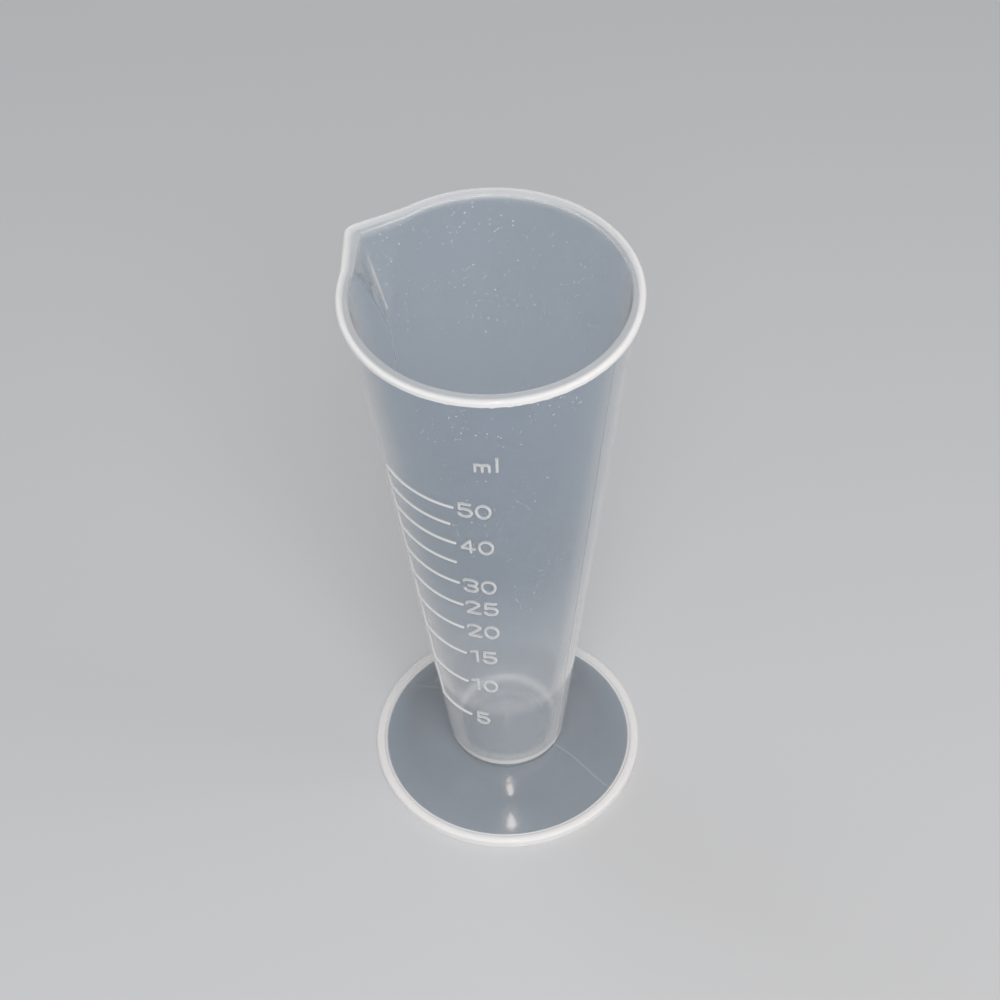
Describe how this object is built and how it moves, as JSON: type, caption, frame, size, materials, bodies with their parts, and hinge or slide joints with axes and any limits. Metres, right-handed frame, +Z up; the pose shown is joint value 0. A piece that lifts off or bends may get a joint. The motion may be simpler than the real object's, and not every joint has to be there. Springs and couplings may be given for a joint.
{
  "type": "conical graduated measure",
  "caption": "Translucent plastic conical measure on a round domed foot, with a V pouring spout, a beaded rim and a raised millilitre scale.",
  "frame": {"origin": "centre of the foot, on the plane it rests on", "axes": "+Z up along the cup's axis; the pouring spout points towards -X; the scale is read from the -Y side"},
  "size_m": [0.0514, 0.0486, 0.1155],
  "materials": {
    "cup_plastic": "glossy translucent natural polypropylene",
    "foot_plastic": "glossy translucent natural polypropylene",
    "raised_marks": "whiter raised marks of the same translucent plastic"
  },
  "bodies": {
    "root": {"cup": "cup_plastic", "foot": "foot_plastic", "graduation_lines": "raised_marks", "graduation_numerals": "raised_marks", "unit_mark": "raised_marks"}
  },
  "joints": []
}
